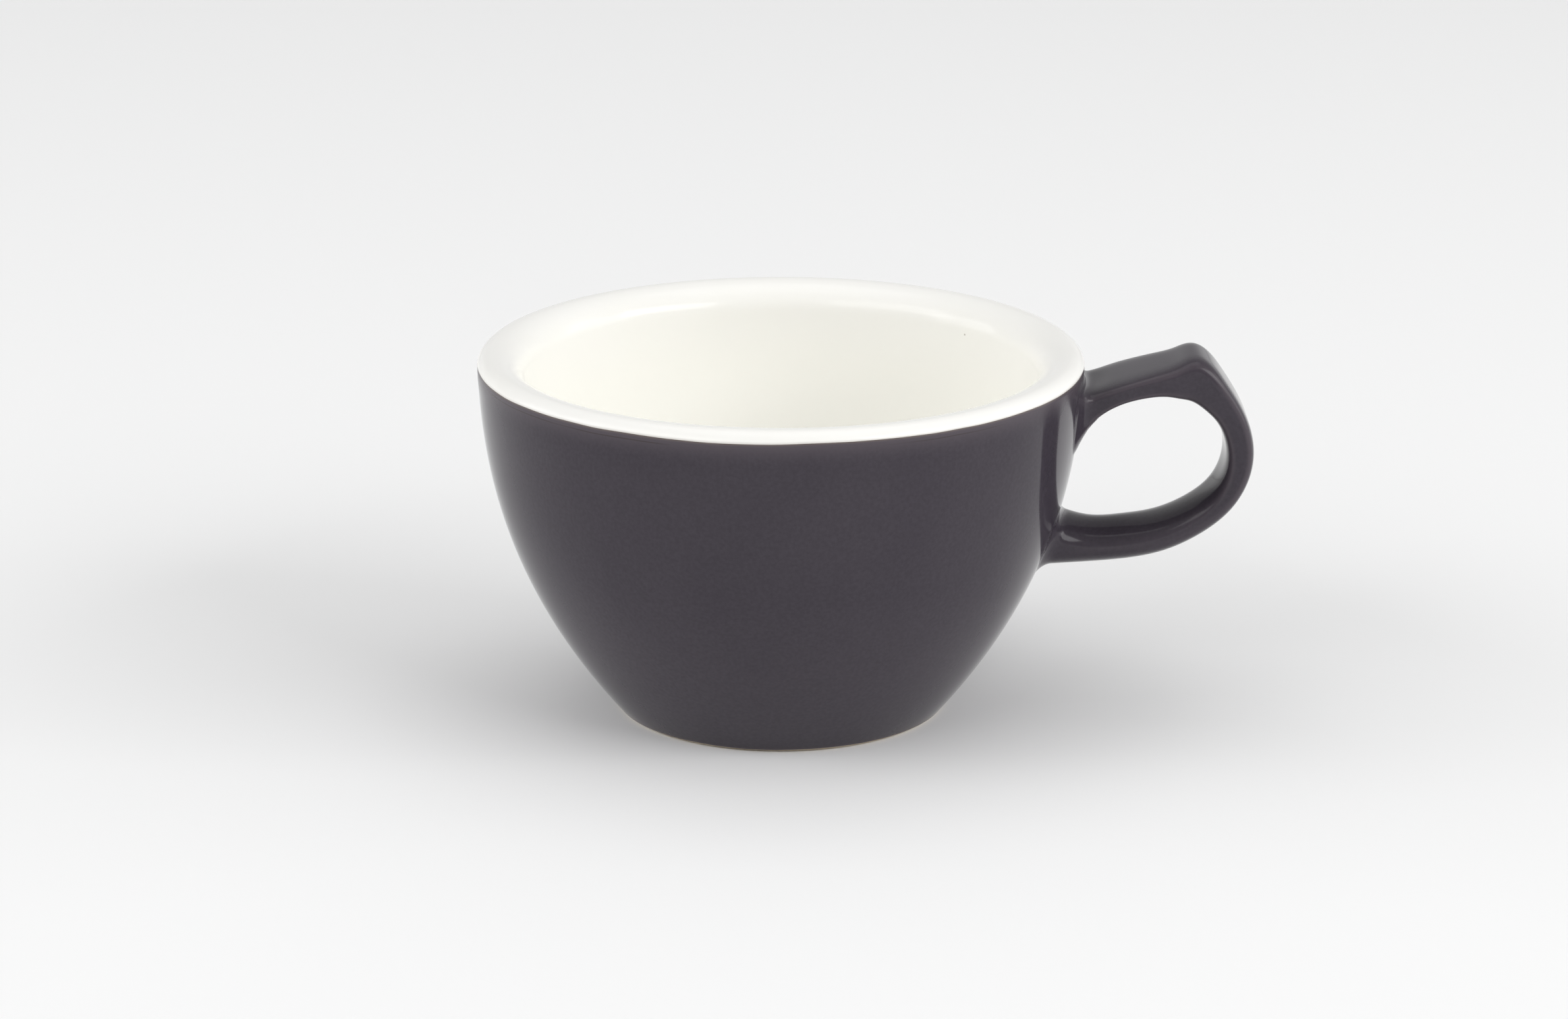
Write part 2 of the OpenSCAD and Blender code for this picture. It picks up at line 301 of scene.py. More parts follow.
def cream_glaze(colours):
    """Cream gloss glaze, poured into the cup and over its lip."""
    # A milky, nearly white glass, painted lighter down inside the cup as painted light filling its hollow,
    # with a scatter of tiny iron specks. Its end on the lip is thin enough to show some of the brown under
    # it.
    material, tree = new_material("Cream Stoneware Glaze")
    place = add_node(tree, "ShaderNodeTexCoord").outputs["Object"]
    depth = add_node(tree, "ShaderNodeTexNoise", {
        "Vector": place, "Scale": per_metre(16 * MM), "Detail": 3.0})
    milky = add_node(tree, "ShaderNodeMix", {
        0: depth.outputs["Fac"], 6: opaque(colours.cream), 7: opaque(colours.cream_pale)}, data_type="RGBA")
    height = add_node(tree, "ShaderNodeSeparateXYZ", {"Vector": place})
    # Painted light: the glaze is mixed lighter down inside the cup
    painted_inside_light = add_node(tree, "ShaderNodeMapRange", {
        "Value": height.outputs["Z"], "From Min": PAINTED_INSIDE_LIGHT_HEIGHTS[0], "From Max": PAINTED_INSIDE_LIGHT_HEIGHTS[1]})
    body = add_node(tree, "ShaderNodeMix", {
        0: painted_inside_light.outputs["Result"], 6: milky.outputs[2], 7: opaque(colours.cream_painted_inside_light)}, data_type="RGBA")
    specks = spots(tree, place, 5 * MM, rarity=0.94, core=0.03, edge=0.05, strength=0.5)
    specked = add_node(tree, "ShaderNodeMix", {
        0: specks, 6: body.outputs[2], 7: opaque(colours.iron)}, data_type="RGBA")
    thin = add_node(tree, "ShaderNodeAttribute", attribute_name="thin").outputs["Fac"]
    edge = add_node(tree, "ShaderNodeMapRange", {
        "Value": thin, "From Min": 0.9, "From Max": 1.0, "To Max": 0.4})
    base = add_node(tree, "ShaderNodeMix", {
        0: edge.outputs["Result"], 6: specked.outputs[2], 7: opaque(colours.cream_thin)}, data_type="RGBA")
    gloss = add_node(tree, "ShaderNodeMapRange", {
        "Value": depth.outputs["Fac"], "From Min": 0.3, "From Max": 0.7, "To Min": 0.1, "To Max": 0.16})
    shader = add_node(tree, "ShaderNodeBsdfPrincipled", {
        "Base Color": base.outputs[2], "Roughness": gloss.outputs["Result"], "IOR": CREAM_IOR,
        "Normal": ripples(tree, place, 11 * MM)})
    add_node(tree, "ShaderNodeOutputMaterial", {"Surface": shader.outputs["BSDF"]})
    return material


def fired_clay(name, rgb, iron):
    """Unglazed stoneware, wiped with a sponge and fired."""
    # Matt and pale, with a fine gritty grain and small iron spots.
    material, tree = new_material(name)
    place = add_node(tree, "ShaderNodeTexCoord").outputs["Object"]
    grit = add_node(tree, "ShaderNodeTexNoise", {
        "Vector": place, "Scale": per_metre(0.5 * MM), "Detail": 4.0})
    spots = add_node(tree, "ShaderNodeTexNoise", {
        "Vector": place, "Scale": per_metre(1.4 * MM), "Detail": 2.0})
    spotted = add_node(tree, "ShaderNodeMapRange", {
        "Value": spots.outputs["Fac"], "From Min": 0.62, "From Max": 0.75, "To Min": 0.0, "To Max": 0.35})
    base = add_node(tree, "ShaderNodeMix", {
        0: spotted.outputs["Result"], 6: opaque(rgb), 7: opaque(iron)}, data_type="RGBA")
    bump = add_node(tree, "ShaderNodeBump", {
        "Strength": 0.8, "Distance": 0.05 * MM, "Height": grit.outputs["Fac"]})
    shader = add_node(tree, "ShaderNodeBsdfPrincipled", {
        "Base Color": base.outputs[2], "Roughness": 0.85, "IOR": CLAY_IOR,
        "Normal": bump.outputs["Normal"]})
    add_node(tree, "ShaderNodeOutputMaterial", {"Surface": shader.outputs["BSDF"]})
    return material


def studio_paper(rgb):
    """Matt white background paper."""
    # Even and without gloss; a very fine fibre keeps it from being a flat colour.
    material, tree = new_material("Studio Paper")
    place = add_node(tree, "ShaderNodeTexCoord").outputs["Object"]
    fibre = add_node(tree, "ShaderNodeTexNoise", {
        "Vector": place, "Scale": per_metre(1.5 * MM), "Detail": 3.0})
    bump = add_node(tree, "ShaderNodeBump", {
        "Strength": 0.2, "Distance": 0.05 * MM, "Height": fibre.outputs["Fac"]})
    shader = add_node(tree, "ShaderNodeBsdfPrincipled", {
        "Base Color": opaque(rgb), "Roughness": 0.95, "Specular IOR Level": 0.0,
        "Normal": bump.outputs["Normal"]})
    add_node(tree, "ShaderNodeOutputMaterial", {"Surface": shader.outputs["BSDF"]})
    return material


def kept_material(name, make, *values):
    """A material of the scene by name, made the first time it is asked for."""
    return bpy.data.materials.get(name) or make(*values)


# The bowl's outlines

# Straight steps in the wall, the lip, a rounding, the cream coat's end and the charcoal coat's lower end
WALL_STEPS = 44
LIP_STEPS = 22
ARC_STEPS = 12
END_STEPS = 6
BEAD_STEPS = 8
# Most of the hollow's straight side that the fillet in its corner may take up
FILLET_SHARE = 0.9


def arc(centre, run, rise, start, end, count=ARC_STEPS):
    """Points of an ellipse's arc, as radius and height pairs."""
    turn = np.linspace(start, end, count + 1)
    return np.stack([centre[0] + run * np.cos(turn), centre[1] + rise * np.sin(turn)], axis=1)


class Bowl:
    """The bowl's outlines, worked out from its sizes and set in from the glazed surface by an inset."""

    def __init__(self, sizes, glaze):
        self.sizes = sizes
        self.glaze = glaze
        self.lean = math.tan(sizes.rim_lean)
        self.lip = np.array([sizes.rim_diameter / 2, sizes.height]) - sizes.lip_rounding
        self.charcoal_rounding = sizes.lip_rounding - glaze.ledge
        self.top_r = self.lip[0] + self.charcoal_rounding * math.cos(sizes.rim_lean)
        self.top_z = self.lip[1] - self.charcoal_rounding * math.sin(sizes.rim_lean)
        self.belly = self.top_r - self.top_z * self.lean - sizes.foot_diameter / 2
        self.line = self.lip_arc(0, glaze.cream_turn, glaze.cream_turn, 0)[0]
        self.foot_line = np.array([self.wall_radius(glaze.bare_foot), glaze.bare_foot])

    def wall_radius(self, z):
        """Finished outer radius of the wall at a height."""
        drawn_in = np.maximum(0, 1 - z / self.top_z) ** self.sizes.wall_power
        return self.top_r - (self.top_z - z) * self.lean - self.belly * drawn_in

    def wall_slope(self, z):
        """How fast the wall widens at a height."""
        power = self.sizes.wall_power
        return self.lean + self.belly * power / self.top_z * max(0, 1 - z / self.top_z) ** (power - 1)

    def outer_wall(self, inset):
        """The outer wall from the foot line to the lip, closer set at its ends."""
        share = (1 - np.cos(np.linspace(0, math.pi, WALL_STEPS + 1))) / 2
        z = self.glaze.bare_foot + (self.top_z - self.glaze.bare_foot) * share[:-1]
        return np.stack([self.wall_radius(z) - inset, z], axis=1)

    def lip_arc(self, inset, start, end, count):
        """Part of the lip's outer rounding."""
        radius = self.sizes.lip_rounding - inset
        return arc(self.lip, radius, radius, start, end, count)

    def cream_end(self):
        """The small rounding where the cream coat ends at the colour line, proud of the charcoal."""
        rounding = self.glaze.end_rounding
        turn = np.linspace(0, math.pi / 2, END_STEPS + 1)
        radius = self.sizes.lip_rounding - rounding * (1 - np.cos(turn))
        at = self.glaze.cream_turn + rounding / self.sizes.lip_rounding * (1 - np.sin(turn))
        return np.stack([self.lip[0] + radius * np.cos(at), self.lip[1] + radius * np.sin(at)], axis=1)

    def inside(self, inset):
        """The inside from the top of the lip down to the middle of the floor."""
        sizes = self.sizes
        inner_top = sizes.height - sizes.lip_drop
        run = self.lip[0] - self.wall_radius(inner_top) + sizes.wall_thickness
        # The lip's rounding stops where it has turned as steep as the wall below it
        end = math.pi - math.atan(self.wall_slope(inner_top) * sizes.lip_drop / run)
        inner_top += sizes.lip_drop * math.sin(end)
        run = (self.wall_radius(inner_top) - sizes.wall_thickness - self.lip[0]) / math.cos(end)
        centre = (self.lip[0], sizes.height - sizes.lip_drop)
        lip = arc(centre, run - inset, sizes.lip_drop - inset, math.pi / 2, end, LIP_STEPS)
        turn_z = sizes.floor_height + sizes.floor_turn
        turn_angle = math.atan(self.wall_slope(turn_z))
        turn_round = sizes.floor_turn / (1 - math.sin(turn_angle))
        turn_r = self.wall_radius(turn_z) - sizes.wall_thickness - turn_round * math.cos(turn_angle)
        z = np.linspace(inner_top, turn_z, WALL_STEPS + 1)[1:-1]
        wall = np.stack([self.wall_radius(z) - sizes.wall_thickness + inset, z], axis=1)
        turn_centre = (turn_r, sizes.floor_height + turn_round)
        turn_round += inset
        corner = arc(turn_centre, turn_round, turn_round, -turn_angle, -math.pi / 2)
        floor = np.array([[turn_r / 2, sizes.floor_height - inset], [0, sizes.floor_height - inset]])
        return np.concatenate([lip[1:], wall, corner, floor])

    def recess(self, inset):
        """The hollow under the foot, from its middle out to the foot ring."""
        sizes = self.sizes
        outer = self.foot_ring_inner() - sizes.foot_rounding
        ceiling = sizes.recess_depth - inset
        fillet = min(sizes.recess_rounding, FILLET_SHARE * (sizes.recess_depth - sizes.foot_rounding))
        centre = (outer - fillet, sizes.recess_depth - fillet)
        corner = arc(centre, fillet - inset, fillet - inset, math.pi / 2, 0)
        return np.concatenate([[[0, ceiling], [outer / 2, ceiling]], corner])

    def foot_ring_outer(self):
        """Radius at which the flat of the foot ring starts to round up into the wall."""
        sizes = self.sizes
        lean = math.atan(self.wall_slope(0))
        start = self.wall_radius(sizes.foot_rounding * (1 - math.sin(lean))) - self.glaze.thickness
        return start - sizes.foot_rounding * math.cos(lean)

    def foot_ring_inner(self):
        """Radius at which the flat of the foot ring ends on its inner side."""
        return self.foot_ring_outer() - self.sizes.foot_ring_width

    def foot(self):
        """The foot ring's outline from the hollow to the wall."""
        rounding = self.sizes.foot_rounding
        lean = math.atan(self.wall_slope(0))
        inner = arc((self.foot_ring_inner(), rounding), rounding, rounding, math.pi, 1.5 * math.pi)
        outer = arc((self.foot_ring_outer(), rounding), rounding, rounding, -math.pi / 2, -lean)
        return np.concatenate([inner, outer])

    def foot_bead(self):
        """The rounded lower end of the charcoal coat, from its back to its face."""
        lean = math.atan(self.wall_slope(self.glaze.bare_foot))
        half = self.glaze.thickness * math.cos(lean) / 2
        out = np.array([math.cos(lean), -math.sin(lean)])
        up = np.array([math.sin(lean), math.cos(lean)])
        middle = self.foot_line - half * out
        turn = np.linspace(math.pi, 0, BEAD_STEPS + 1)[1:-1, None]
        return middle + half * (np.cos(turn) * out - np.sin(turn) * up)

    def clay_outline(self):
        """All of the clay, from the middle of the floor over the lip to the middle of the hollow."""
        inset = self.glaze.thickness
        lip = self.lip_arc(inset, math.pi / 2, -self.sizes.rim_lean, LIP_STEPS)
        return np.concatenate([
            self.inside(inset)[::-1], lip, self.outer_wall(inset)[::-1], self.foot()[::-1],
            self.recess(0)[::-1]])

    def cream_outline(self):
        """The cream coat, from the middle of the floor over the lip and back under itself."""
        line = self.glaze.cream_turn
        step = self.glaze.end_rounding / self.sizes.lip_rounding
        face = self.lip_arc(0, math.pi / 2, line + step, LIP_STEPS)[:-1]
        back = self.lip_arc(self.glaze.thickness, line, math.pi / 2, LIP_STEPS)
        return np.concatenate([
            self.inside(0)[::-1], face, self.cream_end(), back, self.inside(self.glaze.thickness)])

    def charcoal_outline(self):
        """The charcoal coat, up its face from the foot to the colour line and down its back."""
        line = self.glaze.cream_turn
        lean = -self.sizes.rim_lean
        face = self.lip_arc(self.glaze.ledge, lean, line, ARC_STEPS)
        back = self.lip_arc(self.glaze.thickness, line, lean, ARC_STEPS)
        return np.concatenate([
            self.outer_wall(0), face, back, self.outer_wall(self.glaze.thickness)[:0:-1], self.foot_bead()])

    def underside_outline(self):
        """The glaze in the hollow under the foot."""
        return np.concatenate([self.recess(0), self.recess(self.glaze.thickness)[::-1]])


# Turning

# Points closer than this are one point, and the noise's own starting place
MERGE_GAP = 0.001 * MM
WAVE_SEED = 3.0


def turning_tree():
    """Geometry Nodes that turn an outline round the cup's axis, as on a potter's wheel.

    The outline is a run of edges in the XZ plane. Its slide attribute says how far and in which direction
    the wandering glaze lines carry each point.
    """
    tree = bpy.data.node_groups.new("Turn Outline", "GeometryNodeTree")
    for name, kind in (
            ("Outline", "NodeSocketGeometry"), ("Turns", "NodeSocketInt"), ("Path Radius", "NodeSocketFloat"),
            ("Wave Scale", "NodeSocketFloat"), ("Seed", "NodeSocketFloat"), ("Finish", "NodeSocketMaterial")):
        tree.interface.new_socket(name, in_out="INPUT", socket_type=kind)
    tree.interface.new_socket("Piece", in_out="OUTPUT", socket_type="NodeSocketGeometry")
    given = add_node(tree, "NodeGroupInput").outputs
    # The outline is laid flat, as a profile that a circular path carries round
    run = add_node(tree, "GeometryNodeMeshToCurve", {"Mesh": given["Outline"]})
    place = add_node(tree, "GeometryNodeInputPosition").outputs["Position"]
    parts = add_node(tree, "ShaderNodeSeparateXYZ", {"Vector": place})
    down = add_node(tree, "ShaderNodeMath", {0: parts.outputs["Z"], 1: -1.0}, operation="MULTIPLY")
    out = add_node(tree, "ShaderNodeMath", {
        0: parts.outputs["X"], 1: given["Path Radius"]}, operation="SUBTRACT")
    flat = add_node(tree, "ShaderNodeCombineXYZ", {"X": out.outputs["Value"], "Y": down.outputs["Value"]})
    profile = add_node(tree, "GeometryNodeSetPosition", {
        "Geometry": run.outputs["Curve"], "Position": flat.outputs["Vector"]})
    path = add_node(tree, "GeometryNodeCurvePrimitiveCircle", {
        "Resolution": given["Turns"], "Radius": given["Path Radius"]})
    turned = add_node(tree, "GeometryNodeCurveToMesh", {
        "Curve": path.outputs["Curve"], "Profile Curve": profile.outputs["Geometry"]})
    closed = add_node(tree, "GeometryNodeMergeByDistance", {
        "Geometry": turned.outputs["Mesh"], "Distance": MERGE_GAP})
    # The glaze lines wander up and down, by a noise that is read round a circle so that it closes
    level = add_node(tree, "ShaderNodeVectorMath", {0: place, 1: (1, 1, 0)}, operation="MULTIPLY")
    radial = add_node(tree, "ShaderNodeVectorMath", {0: level.outputs["Vector"]}, operation="NORMALIZE")
    noise = add_node(tree, "ShaderNodeTexNoise", {
        "Vector": radial.outputs["Vector"], "W": given["Seed"], "Scale": given["Wave Scale"], "Detail": 1.5},
        noise_dimensions="4D")
    wave = add_node(tree, "ShaderNodeMapRange", {
        "Value": noise.outputs["Fac"], "To Min": -1.0, "To Max": 1.0})
    slide = add_node(tree, "GeometryNodeInputNamedAttribute", {"Name": "slide"}, data_type="FLOAT_VECTOR")
    slide_parts = add_node(tree, "ShaderNodeSeparateXYZ", {"Vector": slide.outputs["Attribute"]})
    outward = add_node(tree, "ShaderNodeVectorMath", {
        0: radial.outputs["Vector"], "Scale": slide_parts.outputs["X"]}, operation="SCALE")
    upward = add_node(tree, "ShaderNodeCombineXYZ", {"Z": slide_parts.outputs["Z"]})
    whole = add_node(tree, "ShaderNodeVectorMath", {
        0: outward.outputs["Vector"], 1: upward.outputs["Vector"]}, operation="ADD")
    shift = add_node(tree, "ShaderNodeVectorMath", {
        0: whole.outputs["Vector"], "Scale": wave.outputs["Result"]}, operation="SCALE")
    waved = add_node(tree, "GeometryNodeSetPosition", {
        "Geometry": closed.outputs["Geometry"], "Offset": shift.outputs["Vector"]})
    real = add_node(tree, "GeometryNodeRealizeInstances", {"Geometry": waved.outputs["Geometry"]})
    finished = add_node(tree, "GeometryNodeSetMaterial", {
        "Geometry": real.outputs["Geometry"], "Material": given["Finish"]})
    add_node(tree, "NodeGroupOutput", {"Piece": finished.outputs["Geometry"]})
    return tree


def turn(outline, is_ring, thin, slide, finish, context):
    """The mesh of an outline turned round the axis. A ring's outline closes, any other ends on the axis."""
    bowl_sizes = context.scene.cup_bowl
    glaze_sizes = context.scene.cup_glaze
    count = len(outline)
    edges = [(i, i + 1) for i in range(count - 1)]
    if is_ring:
        edges.append((count - 1, 0))
    guide = bpy.data.meshes.new("outline")
    guide.from_pydata([(r, 0, z) for r, z in outline], edges, [])
    guide.attributes.new("thin", "FLOAT", "POINT").data.foreach_set("value", thin)
    vectors = np.stack([slide[:, 0], np.zeros(count), slide[:, 1]], axis=1)
    guide.attributes.new("slide", "FLOAT_VECTOR", "POINT").data.foreach_set("vector", vectors.ravel())
    former = bpy.data.objects.new("outline", guide)
    context.scene.collection.objects.link(former)
    tree = bpy.data.node_groups.get("Turn Outline") or turning_tree()
    values = {
        "Turns": bowl_sizes.turns,
        "Path Radius": bowl_sizes.rim_diameter / 2,
        "Wave Scale": bowl_sizes.rim_diameter / 2 / glaze_sizes.wave_length,
        "Seed": WAVE_SEED,
        "Finish": finish,
    }
    modifier = former.modifiers.new("Turn", "NODES")
    modifier.node_group = tree
    for socket in tree.interface.items_tree:
        if socket.in_out == "INPUT" and socket.name in values:
            modifier[socket.identifier] = values[socket.name]
    mesh = bpy.data.meshes.new_from_object(former.evaluated_get(context.evaluated_depsgraph_get()))
    bpy.data.objects.remove(former)
    bpy.data.meshes.remove(guide)
    mesh.attributes.remove(mesh.attributes["slide"])
    return mesh


def close_and_smooth(mesh, sharp_angle=math.radians(38)):
    """Points the faces of a closed mesh outwards and shades it smooth except at sharp edges."""
    shape = bmesh.new()
    shape.from_mesh(mesh)
    if any(not edge.is_manifold for edge in shape.edges):
        raise RuntimeError(f"{mesh.name} isn't closed")
    bmesh.ops.recalc_face_normals(shape, faces=shape.faces)
    if shape.calc_volume(signed=True) < 0:
        bmesh.ops.reverse_faces(shape, faces=shape.faces)
    shape.to_mesh(mesh)
    shape.free()
    mesh.shade_smooth()
    mesh.set_sharp_from_angle(angle=sharp_angle)


def place_piece(name, mesh, node):
    """Adds a finished mesh as the piece that stands for a CAD node."""
    close_and_smooth(mesh)
    mesh.name = name
    piece = bpy.data.objects.new(name, mesh)
    bpy.context.scene.collection.objects.link(piece)
    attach(piece, BODY)
    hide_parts(node)
    return piece


# The handle

# Stations along the strap, from the upper root round the loop to the lower root: the inner edge's place as
# shares of the hole's reach and height, the section's turn from +X in degrees, and its thickness, width and
# squareness as shares of the strap's.
STATION_SHARES = np.array([
    (0.00, 0.65, 90, 1.85, 1.20, 1.00),
    (0.10, 0.82, 90, 1.15, 1.05, 1.00),
    (0.25, 0.94, 95, 0.80, 1.05, 1.00),
    (0.50, 0.99, 97, 0.90, 1.00, 1.00),
    (0.65, 0.97, 91, 1.25, 0.95, 1.00),
    (0.75, 0.94, 80, 1.60, 0.90, 1.00),
    (0.85, 0.87, 62, 1.30, 0.90, 1.00),
    (0.95, 0.75, 45, 1.05, 0.85, 1.00),
    (1.00, 0.55, 12, 1.00, 0.85, 0.90),
    (0.95, 0.35, -25, 1.00, 0.85, 0.65),
    (0.80, 0.20, -50, 1.15, 0.80, 0.50),
    (0.55, 0.08, -70, 1.30, 0.80, 0.45),
    (0.30, 0.04, -83, 1.45, 0.80, 0.40),
    (0.05, 0.03, -90, 1.55, 0.80, 0.40),
    (-0.20, 0.08, -90, 1.80, 0.95, 0.50),
])
LAST_STATION = len(STATION_SHARES) - 1
# Stations over which an end of the strap takes up the bowl's round shape
ROOT_STATIONS = 2
# Rings between two stations on the back of the glaze, and places tried along a root to find its fillet's end
BACK_STEPS = 4
ROOT_PLACES = 200
# Steps in the fillet at each root, how far the strap's own section stands off the bowl's glaze there, and
# how far the fillet's end goes under that glaze
FILLET_STEPS = 12
ROOT_GAP = 0.33 * MM
ROOT_SINK = 0.05 * MM
# Gap between the handle's clay and the back of its glaze
COAT_GAP = 0.03 * MM
# Bend of the strap's section, per metre, at which the glaze on it counts as thin, and how thin it gets
THIN_BEND = 1 / (1.2 * MM)
THIN_ON_STRAP = 0.74


class Strap:
    """The strap handle's rings, worked out from its sizes and the bowl that it grows from."""

    def __init__(self, sizes, bowl):
        self.sizes = sizes
        self.bowl = bowl
        self.base = bowl.sizes.height - sizes.hole_drop - sizes.hole_height
        count = LAST_STATION + 1
        inner = np.arange(1, LAST_STATION)
        matrix = np.eye(count)
        matrix[inner, inner - 1] = matrix[inner, inner + 1] = 1 / 6
        matrix[inner, inner] = 4 / 6
        change = np.zeros_like(STATION_SHARES)
        change[1:-1] = STATION_SHARES[2:] - 2 * STATION_SHARES[1:-1] + STATION_SHARES[:-2]
        self.bends = np.linalg.solve(matrix, change)

    def along(self, s):
        """Station values at a place along the strap, on a smooth curve through the stations."""
        i = min(int(s), LAST_STATION - 1)
        k = s - i
        a = 1 - k
        bend = (a ** 3 - a) * self.bends[i] + (k ** 3 - k) * self.bends[i + 1]
        return a * STATION_SHARES[i] + k * STATION_SHARES[i + 1] + bend / 6

    def edge_x(self, s):
        """Distance of the inner edge from the cup's axis."""
        return self.bowl.sizes.rim_diameter / 2 + self.along(s)[0] * self.sizes.hole_reach

    def stand(self, s):
        """How far a place near a root stands off the bowl."""
        root = 0 if s < LAST_STATION / 2 else LAST_STATION
        return self.edge_x(s) - self.edge_x(root) + ROOT_GAP

    def ring(self, s, inset, stand, share):
        """One ring, set in from the glazed surface. By a share it stands evenly off the bowl."""
        x_share, z_share, turn_degrees, thick_share, wide_share, square_share = self.along(s)
        turn_angle = math.radians(turn_degrees)
        thick = thick_share * self.sizes.strap_thickness
        half_t = thick / 2 - inset
        half_w = wide_share * self.sizes.strap_width / 2 - inset
        count = self.sizes.section_points
        round_turn = 2 * math.pi * np.arange(count) / count
        power = 2 / (square_share * self.sizes.squareness)
        sine = np.sin(round_turn)
        cosine = np.cos(round_turn)
        out = thick / 2 + half_t * np.sign(sine) * np.abs(sine) ** power
        y = half_w * np.sign(cosine) * np.abs(cosine) ** power
        x = self.edge_x(s) + math.cos(turn_angle) * out
        z = self.base + z_share * self.sizes.hole_height + math.sin(turn_angle) * out
        if share > 0:
            wall_x = np.sqrt(self.bowl.wall_radius(z) ** 2 - y ** 2) + stand
            x = x + (wall_x - x) * share
        return np.stack([x, y, z], axis=1)

    def root_share(self, s, free):
        """Share of the bowl's round shape that a ring takes up, all of it as far as the fillet goes."""
        away = min(s, LAST_STATION - s)
        k = min(max((away - free) / (ROOT_STATIONS - free), 0), 1)
        return 1 - k * k * (3 - 2 * k)

    def face_rings(self):
        """Rings of the glazed face, with a fillet at each root that runs into the bowl's face."""
        fillet = self.sizes.root_fillet
        near = np.linspace(0, ROOT_STATIONS, ROOT_PLACES)
        upper = float(np.interp(fillet, [self.stand(s) for s in near], near))
        lower = float(np.interp(fillet, [self.stand(LAST_STATION - s) for s in near], near))
        turns = np.linspace(math.pi / 2, 0, FILLET_STEPS, endpoint=False)
        rings = []
        for root, free in ((0, upper), (LAST_STATION, lower)):
            stands = [self.stand(abs(root - s)) for s in near]
            for bend in turns:
                stand = fillet * (1 - math.sin(bend))
                s = abs(root - float(np.interp(stand, stands, near)))
                rings.append(self.ring(s, INSIDE - fillet * (1 - math.cos(bend)), stand - ROOT_SINK, 1))
        count = int((LAST_STATION - upper - lower) * self.sizes.ring_steps)
        middle = []
        for s in np.linspace(upper, LAST_STATION - lower, count):
            share = self.root_share(s, upper if s < LAST_STATION / 2 else lower)
            middle.append(self.ring(s, INSIDE, self.stand(s) - ROOT_SINK, share))
        return rings[:FILLET_STEPS] + middle + rings[FILLET_STEPS:][::-1]

    def back_rings(self, inset):
        """Rings of the glaze's back, or of the clay that it lies on."""
        places = np.linspace(0, LAST_STATION, LAST_STATION * BACK_STEPS + 1)
        rings = [self.ring(s, inset, self.stand(s), self.root_share(s, 0)) for s in places]
        ends = [self.ring(s, inset, -ROOT_SINK, 1) for s in (0, LAST_STATION)]
        return [ends[0], *rings, ends[1]]


def bend_of(ring):
    """Outward bend of a ring at each of its points, per metre."""
    before = ring - np.roll(ring, 1, axis=0)
    after = np.roll(ring, -1, axis=0) - ring
    size_before = np.linalg.norm(before, axis=1)
    size_after = np.linalg.norm(after, axis=1)
    cosine = np.clip(np.sum(before * after, axis=1) / (size_before * size_after), -1, 1)
    return np.arccos(cosine) * 2 / (size_before + size_after)


def loft(rings, finish, is_tube):
    """A closed skin over rings. A tube's last ring joins its first, otherwise the end rings are capped."""
    count = len(rings[0])
    faces = []
    for i in range(len(rings) if is_tube else len(rings) - 1):
        a = i * count
        b = (i + 1) % len(rings) * count
        for j in range(count):
            k = (j + 1) % count
            faces.append((a + j, a + k, b + k, b + j))
    if not is_tube:
        last = (len(rings) - 1) * count
        faces += [tuple(range(count)), tuple(range(last, last + count))]
    mesh = bpy.data.meshes.new("skin")
    mesh.from_pydata(np.concatenate(rings), [], faces)
    thin = [THIN_ON_STRAP * np.clip(bend_of(ring) / THIN_BEND, 0, 1) for ring in rings]
    mesh.attributes.new("thin", "FLOAT", "POINT").data.foreach_set("value", np.concatenate(thin))
    mesh.materials.append(finish)
    return mesh


# Operators

def nearness(outline, end, reach):
    """How near each point of an outline is to an end of the glaze, from 1 on it to 0 at a reach."""
    return np.clip(1 - np.linalg.norm(outline - end, axis=1) / reach, 0, 1)


def coat_finish(bowl, outline, glaze):
    """Thinness and slide of a coat's points along its wandering ends."""
    line = nearness(outline, bowl.line, glaze.thin_reach)
    foot = nearness(outline, bowl.foot_line, glaze.foot_reach)
    line_slide = nearness(outline, bowl.line, 2 * glaze.thin_reach)
    foot_slide = nearness(outline, bowl.foot_line, 2 * glaze.thin_reach)
    turn_angle = np.arctan2(outline[:, 1] - bowl.lip[1], outline[:, 0] - bowl.lip[0])
    turn_angle = np.maximum(turn_angle, -bowl.sizes.rim_lean)
    round_lip = np.stack([-np.sin(turn_angle), np.cos(turn_angle)], axis=1)
    slope = bowl.wall_slope(glaze.bare_foot)
    up_wall = np.array([slope, 1]) / math.hypot(slope, 1)
    slide = glaze.line_wave * (line_slide ** 2)[:, None] * round_lip
    slide += glaze.foot_wave * (foot_slide ** 2)[:, None] * up_wall
    return np.maximum(line, foot), slide


class CERAMICS_OT_turn_clay(bpy.types.Operator):
    """Turn the clay bowl with its foot ring"""
    bl_idname = "ceramics.turn_clay"
    bl_label = "Turn Clay Bowl"

    def execute(self, context):
        scene = context.scene
        bowl = Bowl(scene.cup_bowl, scene.cup_glaze)
        outline = bowl.clay_outline()
        clay = kept_material(
            "Fired Clay", fired_clay, "Fired Clay", scene.cup_colours.clay, scene.cup_colours.iron)
        none = np.zeros(len(outline))
        mesh = turn(outline, False, none, np.zeros_like(outline), clay, context)
        place_piece("clay_bowl", mesh, "cup_body")
        return {"FINISHED"}


